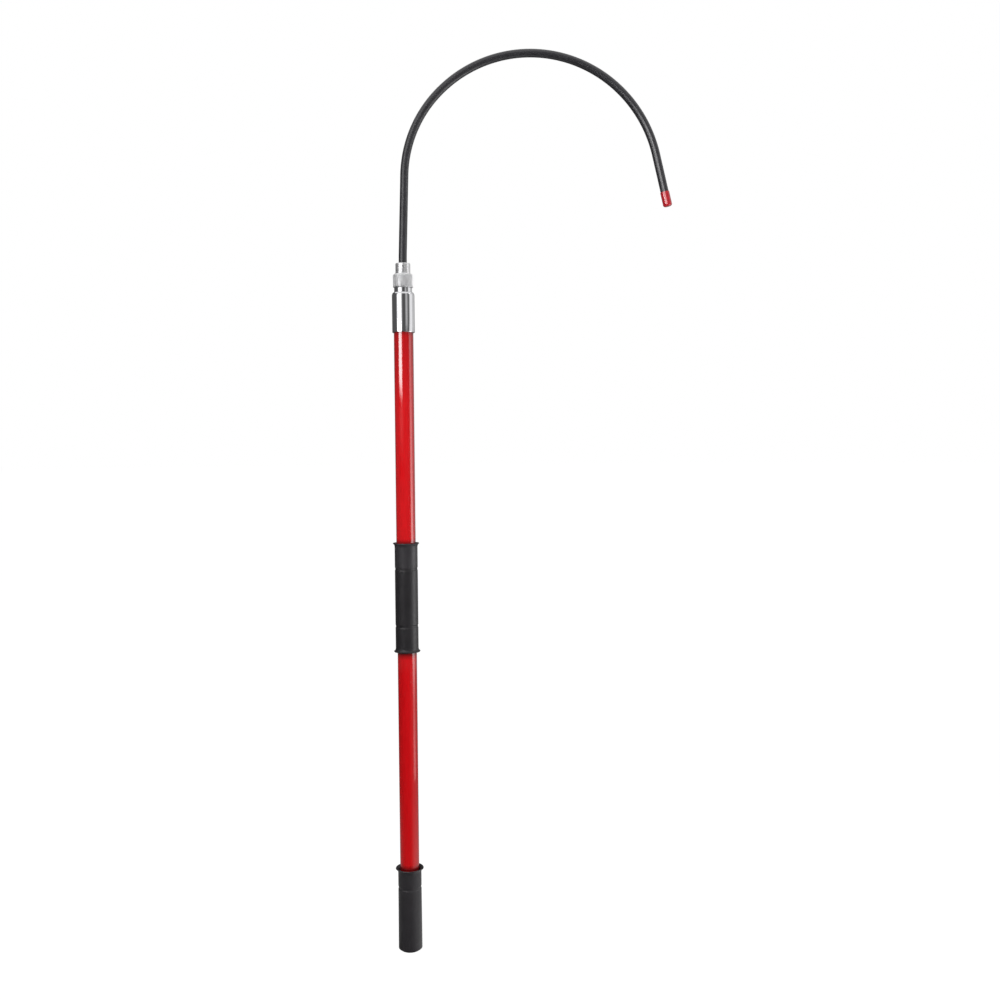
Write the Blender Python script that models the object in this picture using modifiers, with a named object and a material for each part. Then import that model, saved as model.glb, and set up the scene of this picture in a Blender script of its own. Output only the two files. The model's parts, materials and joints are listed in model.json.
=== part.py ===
"""Rescue hook: an insulating pole with two grips and a screw-on body hook.

The origin is the middle of the butt's flat face. +Z runs up the pole and the hook opens towards +X.
All sizes are in metres. The hook is held by a knurled union nut, is keyed by a small pin, and lifts
out of the head insert once the nut is off its thread.
"""

import math

import bmesh
import bpy
from mathutils import Vector

# Clearances and fineness
GAP = 0.0003
SLIDE_GAP = 0.0004
MERGE = 0.00001
ROUND_STEPS = 40
INNER_STEPS = 30
PIN_STEPS = 16
SHARP_ANGLE = math.radians(32.0)
SEAT_MARK = 0.03

# Pole tube and what fills it
TUBE_RADIUS = 0.0160
TUBE_WALL = 0.0025
TUBE_LENGTH = 1.0877
END_PLUG_FLANGE = 0.0020
END_PLUG_DEPTH = 0.0150
END_PLUG_EDGE = 0.0006

# Lower grip, closed over the butt
LOWER_GRIP_LENGTH = 0.1412
LOWER_GRIP_FLOOR = 0.0050
LOWER_GRIP_WALL = 0.0033
LOWER_GRIP_TAPER = 0.0004
LOWER_GRIP_RING = 0.0332
LOWER_FLARE_OUT = 0.0040
LOWER_FLARE_HEIGHT = 0.0070
BUTT_FLAT_RADIUS = 0.0155
BUTT_CHAMFER_HEIGHT = 0.0034
BUTT_ROUND = 0.0012

# Middle grip, a sleeve with a rim at each end
MIDDLE_GRIP_BOTTOM = 0.5082
MIDDLE_GRIP_LENGTH = 0.1822
MIDDLE_GRIP_WALL = 0.0027
MIDDLE_GRIP_RING = 0.0433
MIDDLE_FLARE_OUT = 0.0030
MIDDLE_FLARE_HEIGHT = 0.0058

# Shared by both grips
LIP_THICKNESS = 0.0013
LIP_STEPS = 4
RING_WIDTH = 0.0054
RING_DEPTH = 0.0006

# Head insert, the plug under the ferrule that carries the hook
INSERT_DEPTH = 0.0450
INSERT_FLANGE = 0.0030
INSERT_CHAMFER = 0.0012
NECK_RADIUS = 0.0146
NECK_LENGTH = 0.0121
THREAD_RADIUS = 0.0135
THREAD_RELIEF_RADIUS = 0.0126
THREAD_RELIEF_WIDTH = 0.0016
THREAD_CHAMFER = 0.0008
SPIGOT_LENGTH = 0.0131
SOCKET_CHAMFER = 0.0007
SOCKET_SPARE_DEPTH = 0.0006

# Ferrule over the tube's top end
FERRULE_RADIUS = 0.0185
FERRULE_LENGTH = 0.0658
FERRULE_LIP = 0.0044
FERRULE_SHOULDER = 0.0058
FERRULE_SHOULDER_STEPS = 5
FERRULE_EDGE = 0.0010

# Cross pin through tube and insert, and the spare length of the cutters for cross pins
INSERT_PIN_RADIUS = 0.0020
INSERT_PIN_DEPTH = 0.0260
PIN_CHAMFER = 0.0003
DRILL_SPARE = 0.0200

# Hook foot, clamped by the nut
FOOT_FLANGE_RADIUS = 0.0131
FOOT_FLANGE = 0.0040
FOOT_EDGE = 0.0005
STUB_RADIUS = 0.0080
STUB_LENGTH = 0.0260
STUB_CHAMFER = 0.0010
ROD_SOCKET_FLOOR = 0.0042
ROD_PIN_RADIUS = 0.0015
ROD_PIN_BELOW_FLANGE = 0.0130

# Locating pin, which keys the foot to the insert
LOCATING_PIN_RADIUS = 0.00125
LOCATING_PIN_OFFSET = 0.0107
LOCATING_PIN_LENGTH = 0.0085
LOCATING_PIN_PROUD = 0.0030

# Union nut
NUT_RADIUS = 0.0165
NUT_ROOF = 0.0036
NUT_BOTTOM_CHAMFER = 0.0013
NUT_TOP_CHAMFER = 0.0030
NUT_TOP_CHAMFER_HEIGHT = 0.0026
HUB_RADIUS = 0.0121
HUB_HEIGHT = 0.0170
HUB_ROUND = 0.0016
HUB_ROUND_STEPS = 3
KNURL_COLUMNS = 60
KNURL_ROWS = 10
KNURL_DEPTH = 0.0004

# Guide bush between nut and shank
BUSH_WALL = 0.0011
BUSH_FLANGE = 0.0015
BUSH_SET_BACK = 0.0010

# Bent rod, its sheath and the cap
ROD_RADIUS = 0.0050
SHEATH_RADIUS = 0.0067
SHEATH_WALL = 0.0013
SHANK_ABOVE_NUT = 0.0027
SET_RADIUS = 0.5000
SET_TURN = math.radians(1.80)
SET_STEPS = 2
SHANK_STRAIGHT = 0.1252
FIRST_BEND_RADIUS = 0.1978
FIRST_BEND_TURN = math.radians(40.0)
FIRST_BEND_STEPS = 7
SECOND_BEND_RADIUS = 0.2115
SECOND_BEND_TURN = math.radians(125.05)
SECOND_BEND_STEPS = 26
TIP_STRAIGHT = 0.0848
ROD_BEVEL = 3
SHEATH_BEVEL = 6
CAP_WALL = 0.00045
CAP_FLOOR = 0.0016
CAP_LENGTH = 0.0242
CAP_ROUND = 0.0050
CAP_ROUND_STEPS = 4

# Heights up the pole, worked out from the sizes above
end_plug_bottom = LOWER_GRIP_FLOOR + GAP
tube_bottom = end_plug_bottom + END_PLUG_FLANGE + GAP
tube_top = tube_bottom + TUBE_LENGTH
insert_flange_bottom = tube_top + GAP
insert_flange_top = insert_flange_bottom + INSERT_FLANGE
insert_bottom = insert_flange_bottom - INSERT_DEPTH
ferrule_top = insert_flange_top + GAP + FERRULE_LIP
ferrule_bottom = ferrule_top - FERRULE_LENGTH
neck_top = insert_flange_top + NECK_LENGTH
spigot_top = neck_top + SPIGOT_LENGTH
nut_bottom = neck_top + GAP
foot_bottom = spigot_top + GAP
foot_top = foot_bottom + FOOT_FLANGE
bush_bottom = foot_top + GAP
nut_shoulder = bush_bottom + BUSH_FLANGE + GAP
nut_ring_top = nut_shoulder + NUT_ROOF
nut_top = nut_ring_top + HUB_HEIGHT
set_start = nut_top + SHANK_ABOVE_NUT

# Radii that follow from their neighbours
tube_bore = TUBE_RADIUS - TUBE_WALL
core_radius = tube_bore - GAP
grip_bore = TUBE_RADIUS + GAP
neck_bore = NECK_RADIUS + GAP
nut_bore = THREAD_RADIUS + GAP
socket_radius = STUB_RADIUS + GAP
rod_socket_radius = ROD_RADIUS + GAP
bush_bore = SHEATH_RADIUS + SLIDE_GAP
bush_radius = bush_bore + BUSH_WALL
hub_bore = bush_radius + GAP


def clear_scene():
    """Start from an empty scene."""
    for item in list(bpy.data.objects):
        bpy.data.objects.remove(item, do_unlink=True)


def new_collection(name):
    """A collection linked to the scene."""
    collection = bpy.data.collections.new(name)
    bpy.context.scene.collection.children.link(collection)
    return collection


def new_material(name, colour, roughness, metallic=0.0):
    """A Principled material of one colour."""
    material = bpy.data.materials.new(name)
    material.use_nodes = True
    shader = material.node_tree.nodes["Principled BSDF"]
    shader.inputs["Base Color"].default_value = (*colour, 1.0)
    shader.inputs["Roughness"].default_value = roughness
    shader.inputs["Metallic"].default_value = metallic
    return material


def arc(centre_radius, centre_height, across, up, start, end, steps):
    """Points on a round or oval corner of a profile, with angles in degrees from straight out."""
    points = []
    for step in range(steps + 1):
        angle = math.radians(start + (end - start) * step / steps)
        points.append((centre_radius + across * math.cos(angle), centre_height + up * math.sin(angle)))
    return points


def turned(name, profile, material, steps=ROUND_STEPS):
    """A profile of (radius, height) points turned about Z; it is open where it starts on the axis."""
    mesh = bpy.data.meshes.new(name)
    edges = [(index, index + 1) for index in range(len(profile) - 1)]
    if profile[0][0] > 0.0:
        edges.append((len(profile) - 1, 0))
    mesh.from_pydata([(radius, 0.0, height) for radius, height in profile], edges, [])
    mesh.materials.append(material)
    piece = bpy.data.objects.new(name, mesh)
    parts.objects.link(piece)
    screw = piece.modifiers.new("Turn", "SCREW")
    screw.axis = "Z"
    screw.angle = math.tau
    screw.steps = steps
    screw.render_steps = steps
    screw.use_merge_vertices = True
    screw.merge_threshold = MERGE
    return piece


def pin(name, radius, length, material):
    """A straight pin with chamfered ends, upright and centred on its origin."""
    half = length / 2.0
    profile = [
        (0.0, half),
        (radius - PIN_CHAMFER, half),
        (radius, half - PIN_CHAMFER),
        (radius, PIN_CHAMFER - half),
        (radius - PIN_CHAMFER, -half),
        (0.0, -half),
    ]
    return turned(name, profile, material, PIN_STEPS)


def drill(name, radius, length, centre, turn=(0.0, 0.0, 0.0)):
    """A round cutter, upright unless it is turned."""
    mesh = bpy.data.meshes.new(name)
    shape = bmesh.new()
    bmesh.ops.create_cone(
        shape, cap_ends=True, segments=PIN_STEPS, radius1=radius, radius2=radius, depth=length
    )
    shape.to_mesh(mesh)
    shape.free()
    cutter = bpy.data.objects.new(name, mesh)
    cutter.location = centre
    cutter.rotation_euler = turn
    cutter.hide_render = True
    cutter.display_type = "WIRE"
    cutters.objects.link(cutter)
    return cutter


def cut(piece, cutter):
    """Take the cutter's shape out of the piece."""
    boolean = piece.modifiers.new("Cut " + cutter.name, "BOOLEAN")
    boolean.operation = "DIFFERENCE"
    boolean.solver = "EXACT"
    boolean.object = cutter


def joint_seat(name, height, parent=None):
    """An empty on the pole's axis where a moving piece seats, at a height above its parent."""
    seat = bpy.data.objects.new(name, None)
    seat.empty_display_size = SEAT_MARK
    seat.location = (0.0, 0.0, height)
    seat.parent = parent
    parts.objects.link(seat)
    return seat


def settled(piece):
    """Keep the piece's evaluated shape as its own mesh, smooth but for its real edges."""
    view = bpy.context.evaluated_depsgraph_get()
    mesh = bpy.data.meshes.new_from_object(piece.evaluated_get(view))
    mesh.name = piece.name
    piece.modifiers.clear()
    piece.data = mesh
    mesh.shade_smooth()
    mesh.set_sharp_from_angle(angle=SHARP_ANGLE)


def as_mesh(curve):
    """A curve object made a mesh object, with its caps welded to its sides."""
    view = bpy.context.evaluated_depsgraph_get()
    mesh = bpy.data.meshes.new_from_object(curve.evaluated_get(view))
    shape = bmesh.new()
    shape.from_mesh(mesh)
    bmesh.ops.remove_doubles(shape, verts=shape.verts, dist=MERGE)
    shape.to_mesh(mesh)
    shape.free()
    name = curve.name
    matrix = curve.matrix_world.copy()
    bpy.data.objects.remove(curve, do_unlink=True)
    piece = bpy.data.objects.new(name, mesh)
    piece.matrix_world = matrix
    parts.objects.link(piece)
    return piece


def flare_out(radius, height, out, rise, steps=LIP_STEPS):
    """The outer side of a rim, from the body's radius at height out to the rim: a quarter ellipse."""
    points = []
    for step in range(steps + 1):
        angle = math.pi / 2.0 * step / steps
        points.append((radius + out * (1.0 - math.cos(angle)), height + rise * math.sin(angle)))
    return points


def rim(bore, body, end, out, rise, side=1.0):
    """A flared rim that ends at height end, from the bore round the lip to the body.

    side is 1 for a rim that opens upwards and -1 for one that opens downwards.
    """
    lip = LIP_THICKNESS
    inner = flare_out(bore, 0.0, body + out - lip / 2.0 - bore, rise)
    outer = flare_out(body, 0.0, out, rise)
    outer.reverse()
    inside = [(radius, end + side * (height - rise)) for radius, height in inner]
    outside = [(radius, end + side * (height - rise - lip)) for radius, height in outer]
    return inside + outside


def ring_groove(radius, height):
    """A shallow groove round a grip, from its upper edge to its lower."""
    half = RING_WIDTH / 2.0
    return [
        (radius, height + half),
        (radius - RING_DEPTH, height + half / 2.0),
        (radius - RING_DEPTH, height - half / 2.0),
        (radius, height - half),
    ]


def build_pole_tube(material):
    """The insulating tube, with the cross pin's hole near its top."""
    profile = [
        (TUBE_RADIUS, tube_top),
        (TUBE_RADIUS, tube_bottom),
        (tube_bore, tube_bottom),
        (tube_bore, tube_top),
    ]
    return turned("pole_tube", profile, material)


def build_foam_core(material):
    """The foam that fills the tube between its end plug and the head insert."""
    bottom = tube_bottom + END_PLUG_DEPTH + GAP
    top = insert_bottom - GAP
    profile = [(0.0, top), (core_radius, top), (core_radius, bottom), (0.0, bottom)]
    return turned("foam_core", profile, material, INNER_STEPS)


def build_end_plug(material):
    """The plug in the butt end: a flange under the tube's end and a stub in its bore."""
    top = tube_bottom + END_PLUG_DEPTH
    flange_top = end_plug_bottom + END_PLUG_FLANGE
    profile = [
        (0.0, top),
        (core_radius - END_PLUG_EDGE, top),
        (core_radius, top - END_PLUG_EDGE),
        (core_radius, flange_top),
        (TUBE_RADIUS, flange_top),
        (TUBE_RADIUS, end_plug_bottom),
        (0.0, end_plug_bottom),
    ]
    return turned("tube_end_plug", profile, material, INNER_STEPS)


def build_lower_grip(material):
    """The closed grip: bore, flared rim, ring groove, slight taper and a chamfered flat butt."""
    top_radius = grip_bore + LOWER_GRIP_WALL
    low_radius = top_radius + LOWER_GRIP_TAPER
    edge = rim(grip_bore, top_radius, LOWER_GRIP_LENGTH, LOWER_FLARE_OUT, LOWER_FLARE_HEIGHT)
    profile = [(0.0, LOWER_GRIP_FLOOR), (grip_bore, LOWER_GRIP_FLOOR)] + edge
    profile += ring_groove(top_radius, LOWER_GRIP_LENGTH - LOWER_GRIP_RING)
    slope = Vector((low_radius - BUTT_FLAT_RADIUS, BUTT_CHAMFER_HEIGHT)).normalized() * BUTT_ROUND
    profile += [
        (low_radius, BUTT_CHAMFER_HEIGHT + BUTT_ROUND),
        (low_radius - slope.x, BUTT_CHAMFER_HEIGHT - slope.y),
        (BUTT_FLAT_RADIUS + slope.x, slope.y),
        (BUTT_FLAT_RADIUS - BUTT_ROUND, 0.0),
        (0.0, 0.0),
    ]
    return turned("lower_grip", profile, material)


def build_middle_grip(material):
    """The sleeve grip: a flared rim at each end and two ring grooves."""
    radius = grip_bore + MIDDLE_GRIP_WALL
    bottom = MIDDLE_GRIP_BOTTOM
    top = bottom + MIDDLE_GRIP_LENGTH
    upper = rim(grip_bore, radius, top, MIDDLE_FLARE_OUT, MIDDLE_FLARE_HEIGHT)
    lower = rim(grip_bore, radius, bottom, MIDDLE_FLARE_OUT, MIDDLE_FLARE_HEIGHT, side=-1.0)
    lower.reverse()
    profile = upper + ring_groove(radius, top - MIDDLE_GRIP_RING)
    profile += ring_groove(radius, bottom + MIDDLE_GRIP_RING) + lower
    return turned("middle_grip", profile, material)


def build_head_insert(material):
    """The plug in the tube's top: flange, neck, threaded spigot and the socket for the hook's foot."""
    socket_floor = foot_bottom - STUB_LENGTH - SOCKET_SPARE_DEPTH
    relief_top = neck_top + THREAD_RELIEF_WIDTH
    profile = [
        (0.0, socket_floor),
        (socket_radius, socket_floor),
        (socket_radius, spigot_top - SOCKET_CHAMFER),
        (socket_radius + SOCKET_CHAMFER, spigot_top),
        (THREAD_RADIUS - THREAD_CHAMFER, spigot_top),
        (THREAD_RADIUS, spigot_top - THREAD_CHAMFER),
        (THREAD_RADIUS, relief_top),
        (THREAD_RELIEF_RADIUS, relief_top),
        (THREAD_RELIEF_RADIUS, neck_top),
        (NECK_RADIUS, neck_top),
        (NECK_RADIUS, insert_flange_top),
        (TUBE_RADIUS, insert_flange_top),
        (TUBE_RADIUS, insert_flange_bottom),
        (core_radius, insert_flange_bottom),
        (core_radius, insert_bottom + INSERT_CHAMFER),
        (core_radius - INSERT_CHAMFER, insert_bottom),
        (0.0, insert_bottom),
    ]
    return turned("head_insert", profile, material)


def build_ferrule(material):
    """The sleeve over the tube's end, drawn in to a lip round the insert's neck."""
    bore = TUBE_RADIUS + GAP
    across = FERRULE_RADIUS - neck_bore
    centre_height = ferrule_top - FERRULE_SHOULDER
    profile = arc(neck_bore, centre_height, across, FERRULE_SHOULDER, 90.0, 0.0, FERRULE_SHOULDER_STEPS)
    profile += [
        (FERRULE_RADIUS, ferrule_bottom + FERRULE_EDGE),
        (FERRULE_RADIUS - FERRULE_EDGE, ferrule_bottom),
        (bore, ferrule_bottom),
        (bore, insert_flange_top + GAP),
        (neck_bore, insert_flange_top + GAP),
    ]
    return turned("ferrule", profile, material)


def build_hook_foot(material):
    """The foot on the rod: a flange for the nut and a stub that drops into the insert."""
    rod_floor = ROD_SOCKET_FLOOR - STUB_LENGTH
    profile = [
        (0.0, rod_floor),
        (rod_socket_radius, rod_floor),
        (rod_socket_radius, FOOT_FLANGE),
        (FOOT_FLANGE_RADIUS - FOOT_EDGE, FOOT_FLANGE),
        (FOOT_FLANGE_RADIUS, FOOT_FLANGE - FOOT_EDGE),
        (FOOT_FLANGE_RADIUS, 0.0),
        (STUB_RADIUS, 0.0),
        (STUB_RADIUS, STUB_CHAMFER - STUB_LENGTH),
        (STUB_RADIUS - STUB_CHAMFER, -STUB_LENGTH),
        (0.0, -STUB_LENGTH),
    ]
    return turned("hook_foot", profile, material, INNER_STEPS)


def build_union_nut(material):
    """The nut: threaded bore, shoulder over the foot's flange, knurled ring and smooth hub."""
    shoulder = nut_shoulder - nut_bottom
    ring_top = nut_ring_top - nut_bottom
    top = nut_top - nut_bottom
    knurl_low = NUT_BOTTOM_CHAMFER
    knurl_high = ring_top - NUT_TOP_CHAMFER_HEIGHT
    row = (knurl_high - knurl_low) / KNURL_ROWS
    profile = [(hub_bore, top)]
    profile += arc(HUB_RADIUS - HUB_ROUND, top - HUB_ROUND, HUB_ROUND, HUB_ROUND, 90.0, 0.0, HUB_ROUND_STEPS)
    profile += [(HUB_RADIUS, ring_top), (NUT_RADIUS - NUT_TOP_CHAMFER, ring_top)]
    profile += [(NUT_RADIUS, knurl_high - row * index) for index in range(KNURL_ROWS + 1)]
    profile += [
        (NUT_RADIUS - NUT_BOTTOM_CHAMFER, 0.0),
        (nut_bore + THREAD_CHAMFER, 0.0),
        (nut_bore, THREAD_CHAMFER),
        (nut_bore, shoulder),
        (hub_bore, shoulder),
    ]
    nut = turned("union_nut", profile, material, KNURL_COLUMNS)
    settled(nut)
    knurl(nut.data, knurl_low, row)
    return nut


def knurl(mesh, low, row):
    """Press every second point of the ring's grid inwards, so that diamonds stand between crossed grooves."""
    column = math.tau / KNURL_COLUMNS
    shape = bmesh.new()
    shape.from_mesh(mesh)
    pressed = []
    for point in shape.verts:
        rows_up = (point.co.z - low) / row
        on_ring = math.hypot(point.co.x, point.co.y) > NUT_RADIUS - MERGE
        columns_round = math.atan2(point.co.y, point.co.x) / column
        if on_ring and (round(rows_up) + round(columns_round)) % 2 == 1:
            pressed.append(point)
    for point in pressed:
        inwards = Vector((point.co.x, point.co.y, 0.0)).normalized()
        point.co -= inwards * KNURL_DEPTH
    bmesh.ops.connect_verts(shape, verts=pressed)
    shape.to_mesh(mesh)
    shape.free()


def build_guide_bush(material):
    """The flanged bush: its flange lies on the foot, and its sleeve lines the nut's hub."""
    top = nut_top - BUSH_SET_BACK - bush_bottom
    profile = [
        (bush_radius, top),
        (bush_radius, BUSH_FLANGE),
        (FOOT_FLANGE_RADIUS, BUSH_FLANGE),
        (FOOT_FLANGE_RADIUS, 0.0),
        (bush_bore, 0.0),
        (bush_bore, top),
    ]
    return turned("guide_bush", profile, material, INNER_STEPS)


def run_straight(points, heading, length):
    """Carry the hook's centreline straight on."""
    points.append(points[-1] + Vector((math.sin(heading), 0.0, math.cos(heading))) * length)


def run_bend(points, heading, radius, turn, steps):
    """Carry the hook's centreline round a bend, and give the heading after it."""
    base = points[-1]
    for step in range(1, steps + 1):
        angle = heading + turn * step / steps
        across = radius * (math.cos(heading) - math.cos(angle))
        along = radius * (math.sin(angle) - math.sin(heading))
        points.append(base + Vector((across, 0.0, along)))
    return heading + turn


def hook_points(start):
    """The hook's centreline in the XZ plane from height start: a small set, shank, two bends and tip."""
    points = [Vector((0.0, 0.0, start)), Vector((0.0, 0.0, set_start - foot_bottom))]
    heading = run_bend(points, 0.0, SET_RADIUS, SET_TURN, SET_STEPS)
    run_straight(points, heading, SHANK_STRAIGHT)
    heading = run_bend(points, heading, FIRST_BEND_RADIUS, FIRST_BEND_TURN, FIRST_BEND_STEPS)
    heading = run_bend(points, heading, SECOND_BEND_RADIUS, SECOND_BEND_TURN, SECOND_BEND_STEPS)
    run_straight(points, heading, TIP_STRAIGHT)
    return points


def swept(name, points, radius, bevel, caps, material):
    """A round bar along straight-sided points."""
    curve = bpy.data.curves.new(name, "CURVE")
    curve.dimensions = "3D"
    curve.bevel_depth = radius
    curve.bevel_resolution = bevel
    curve.use_fill_caps = caps
    spline = curve.splines.new("POLY")
    spline.points.add(len(points) - 1)
    for slot, point in zip(spline.points, points):
        slot.co = (*point, 1.0)
    curve.materials.append(material)
    piece = bpy.data.objects.new(name, curve)
    parts.objects.link(piece)
    return piece


def build_hook_rod(material):
    """The bent steel rod, from its socket in the foot to the cap."""
    points = hook_points(ROD_SOCKET_FLOOR - STUB_LENGTH + GAP)
    return as_mesh(swept("hook_rod", points, ROD_RADIUS, ROD_BEVEL, True, material))


def build_hook_sheath(material):
    """The covering over the rod, a bent pipe from the foot's flange to the rod's end."""
    points = hook_points(FOOT_FLANGE + GAP)
    sheath = swept("hook_sheath", points, SHEATH_RADIUS, SHEATH_BEVEL, False, material)
    wall = sheath.modifiers.new("Wall", "SOLIDIFY")
    wall.thickness = SHEATH_WALL
    wall.offset = -1.0
    wall.use_even_offset = True
    return as_mesh(sheath)


def build_tip_cap(material):
    """The cap over the sheath's end, standing along the tip's direction."""
    tip = hook_points(0.0)[-1]
    bore = SHEATH_RADIUS + GAP
    radius = bore + CAP_WALL
    end = GAP + CAP_FLOOR
    mouth = end - CAP_LENGTH
    profile = [(0.0, end)]
    profile += arc(radius - CAP_ROUND, end - CAP_ROUND, CAP_ROUND, CAP_ROUND, 90.0, 0.0, CAP_ROUND_STEPS)
    profile += [(radius, mouth), (bore, mouth), (bore, GAP), (0.0, GAP)]
    cap = turned("tip_cap", profile, material, INNER_STEPS)
    cap.location = tip
    cap.rotation_euler = (0.0, SET_TURN + FIRST_BEND_TURN + SECOND_BEND_TURN, 0.0)
    return cap


def build_pole(materials):
    """Everything that stays with the pole."""
    tube = build_pole_tube(materials["red_tube"])
    build_foam_core(materials["foam"])
    build_end_plug(materials["plug_plastic"])
    build_lower_grip(materials["grip_rubber"])
    build_middle_grip(materials["grip_rubber"])
    insert = build_head_insert(materials["chrome"])
    build_ferrule(materials["chrome"])
    across = (math.pi / 2.0, 0.0, 0.0)
    pin_height = insert_flange_bottom - INSERT_PIN_DEPTH
    insert_pin_length = 2.0 * (TUBE_RADIUS - GAP)
    insert_pin = pin("insert_pin", INSERT_PIN_RADIUS, insert_pin_length, materials["steel"])
    insert_pin.location = (0.0, 0.0, pin_height)
    insert_pin.rotation_euler = across
    hole_length = insert_pin_length + DRILL_SPARE
    hole = drill("insert_pin_hole", INSERT_PIN_RADIUS + GAP, hole_length, insert_pin.location, across)
    cut(tube, hole)
    cut(insert, hole)
    locating_pin = pin("locating_pin", LOCATING_PIN_RADIUS, LOCATING_PIN_LENGTH, materials["steel"])
    locating_pin.location = (-LOCATING_PIN_OFFSET, 0.0, spigot_top + LOCATING_PIN_PROUD - LOCATING_PIN_LENGTH / 2.0)
    return insert


def build_hook(insert, materials):
    """The hook with its foot, on an empty at the foot's seat."""
    seat = joint_seat("hook_seat", foot_bottom)
    foot = build_hook_foot(materials["steel"])
    rod = build_hook_rod(materials["steel"])
    sheath = build_hook_sheath(materials["sheath_plastic"])
    cap = build_tip_cap(materials["red_cap"])
    across = (math.pi / 2.0, 0.0, 0.0)
    rod_pin_length = 2.0 * (STUB_RADIUS - GAP)
    rod_pin = pin("rod_pin", ROD_PIN_RADIUS, rod_pin_length, materials["steel"])
    rod_pin.location = (0.0, 0.0, -ROD_PIN_BELOW_FLANGE)
    rod_pin.rotation_euler = across
    for piece in (foot, rod, sheath, cap, rod_pin):
        piece.parent = seat
    rod_hole_centre = (0.0, 0.0, foot_bottom - ROD_PIN_BELOW_FLANGE)
    rod_hole_length = rod_pin_length + DRILL_SPARE
    rod_hole = drill("rod_pin_hole", ROD_PIN_RADIUS + GAP, rod_hole_length, rod_hole_centre, across)
    cut(foot, rod_hole)
    cut(rod, rod_hole)
    key_bottom = spigot_top + LOCATING_PIN_PROUD - LOCATING_PIN_LENGTH - GAP
    key_length = LOCATING_PIN_LENGTH + DRILL_SPARE
    key_centre = (-LOCATING_PIN_OFFSET, 0.0, key_bottom + key_length / 2.0)
    key_hole = drill("locating_pin_hole", LOCATING_PIN_RADIUS + GAP, key_length, key_centre)
    cut(foot, key_hole)
    cut(insert, key_hole)
    return seat


def build_nut(hook_seat, materials):
    """The union nut on its bush, each on an empty of its own."""
    bush_seat = joint_seat("bush_seat", bush_bottom - foot_bottom, hook_seat)
    bush = build_guide_bush(materials["nylon"])
    bush.parent = bush_seat
    nut_seat = joint_seat("nut_seat", nut_bottom - bush_bottom, bush_seat)
    nut = build_union_nut(materials["satin_steel"])
    nut.parent = nut_seat


def main():
    """Build the whole rescue hook."""
    materials = {
        "red_tube": new_material("red_tube", (0.56, 0.010, 0.014), 0.15),
        "foam": new_material("foam", (0.80, 0.72, 0.45), 0.90),
        "plug_plastic": new_material("plug_plastic", (0.03, 0.03, 0.03), 0.50),
        "grip_rubber": new_material("grip_rubber", (0.030, 0.029, 0.031), 0.60),
        "chrome": new_material("chrome", (0.75, 0.75, 0.77), 0.08, 1.0),
        "steel": new_material("steel", (0.50, 0.50, 0.51), 0.35, 1.0),
        "satin_steel": new_material("satin_steel", (0.62, 0.62, 0.63), 0.32, 1.0),
        "nylon": new_material("nylon", (0.75, 0.74, 0.70), 0.45),
        "sheath_plastic": new_material("sheath_plastic", (0.055, 0.056, 0.060), 0.42),
        "red_cap": new_material("red_cap", (0.60, 0.012, 0.016), 0.30),
    }
    insert = build_pole(materials)
    hook_seat = build_hook(insert, materials)
    build_nut(hook_seat, materials)
    bpy.context.view_layer.update()
    for piece in parts.objects:
        if piece.type == "MESH" and piece.modifiers:
            settled(piece)


clear_scene()
parts = new_collection("rescue_hook")
cutters = new_collection("rescue_hook_cutters")
main()
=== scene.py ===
"""The looks of the rescue hook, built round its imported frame.

Each visible node is stood for by a finer piece of the same size: rounded edges, a cut thread, a diamond
knurl and finished materials. All sizes are in metres. +Z runs up the pole and the hook opens towards +X.
"""

import json
import math

import bmesh
import bpy
from mathutils import Matrix, Vector


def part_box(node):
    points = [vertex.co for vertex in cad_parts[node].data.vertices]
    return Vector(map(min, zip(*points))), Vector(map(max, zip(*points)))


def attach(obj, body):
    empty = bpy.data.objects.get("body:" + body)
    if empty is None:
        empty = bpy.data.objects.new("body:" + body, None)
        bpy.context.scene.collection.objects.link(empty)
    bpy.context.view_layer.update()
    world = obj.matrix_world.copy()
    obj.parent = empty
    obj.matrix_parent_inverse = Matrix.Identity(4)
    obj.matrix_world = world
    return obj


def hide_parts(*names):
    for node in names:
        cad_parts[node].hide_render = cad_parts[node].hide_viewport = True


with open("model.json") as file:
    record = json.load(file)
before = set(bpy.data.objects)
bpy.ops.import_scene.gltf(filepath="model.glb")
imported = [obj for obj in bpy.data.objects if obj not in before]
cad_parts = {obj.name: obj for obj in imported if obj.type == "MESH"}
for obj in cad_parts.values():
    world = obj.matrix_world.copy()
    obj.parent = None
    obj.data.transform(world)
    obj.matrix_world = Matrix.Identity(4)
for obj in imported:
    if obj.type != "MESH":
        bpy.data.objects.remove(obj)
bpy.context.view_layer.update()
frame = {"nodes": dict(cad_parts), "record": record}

# Fineness
TURN_STEPS = 128
SMALL_STEPS = 48
FILLET_STEPS = 5
FLARE_STEPS = 14
SWEPT_SIDES = 40
TOUCHING = 0.00001
SHARP_ANGLE = math.radians(40.0)
FILLET_SHARE = 0.45
SMALL_EDGE = 0.0004
GAP = 0.0003

# Tube and grips
TUBE_WALL = 0.0025
TUBE_EDGE = 0.0003
GRIP_FLOOR = 0.0050
LOWER_GRIP_WALL = 0.0033
LOWER_GRIP_TAPER = 0.0004
LOWER_GRIP_RING = 0.0332
LOWER_FLARE_HEIGHT = 0.0070
BUTT_FLAT_RADIUS = 0.0155
BUTT_CHAMFER_HEIGHT = 0.0034
BUTT_FILLET = 0.0012
MIDDLE_GRIP_WALL = 0.0027
MIDDLE_GRIP_RING = 0.0433
MIDDLE_FLARE_HEIGHT = 0.0058
LIP_THICKNESS = 0.0013
LIP_FILLET = 0.0005
RING_WIDTH = 0.0054
RING_DEPTH = 0.0006
RING_FILLET = 0.0012

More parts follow.
